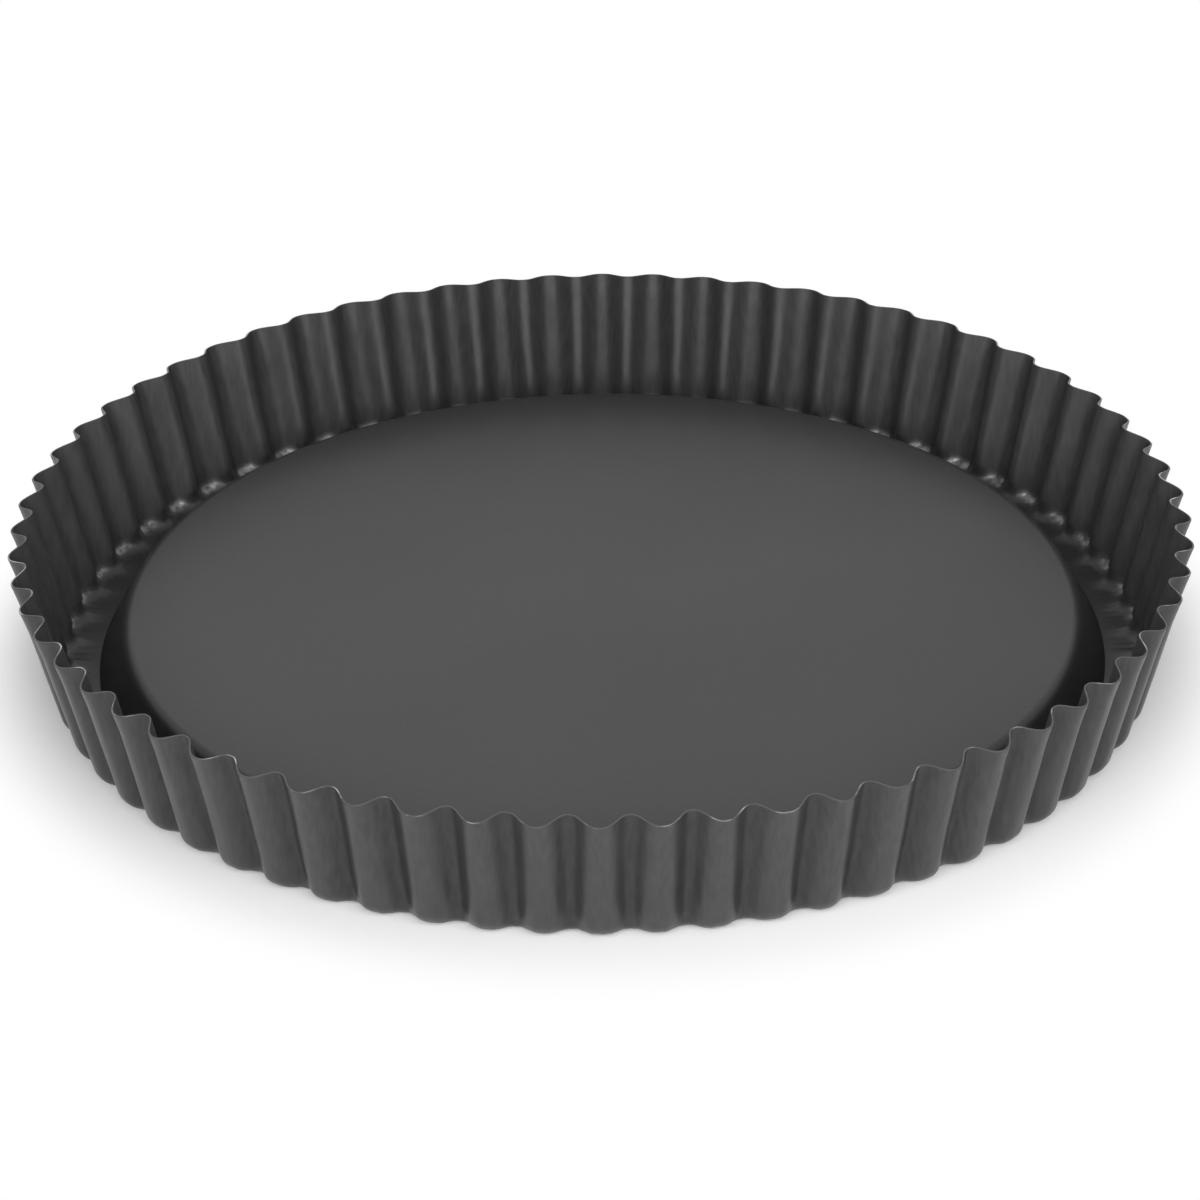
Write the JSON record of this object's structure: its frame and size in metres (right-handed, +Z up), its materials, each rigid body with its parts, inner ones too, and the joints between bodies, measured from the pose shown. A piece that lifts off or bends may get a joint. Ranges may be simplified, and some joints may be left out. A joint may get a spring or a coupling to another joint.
{
  "type": "flan pan",
  "caption": "Round baking pan with a flared, fluted wall and a raised loose base that stands on an inner lip beside a narrow channel and lifts out to free the flan.",
  "frame": {"origin": "centre of the pan, on the flat underside of its lip and floor, which is the surface that it stands on", "axes": "+Z up along the pan's axis, out of its open top; -Y is the front in the picture, with a flute's crest on it"},
  "size_m": [0.28, 0.28, 0.0355],
  "materials": {
    "ring_coat": "satin grey non-stick coat on pressed steel sheet",
    "base_coat": "satin grey non-stick coat on pressed steel sheet"
  },
  "bodies": {
    "ring": {"fluted_ring": "ring_coat"},
    "base": {"lift_out_base": "base_coat"}
  },
  "joints": [
    {"name": "base_lift", "type": "slide", "parent": "ring", "child": "base", "axis": [0, 0, 1], "range_m": [0, 0.05]}
  ]
}
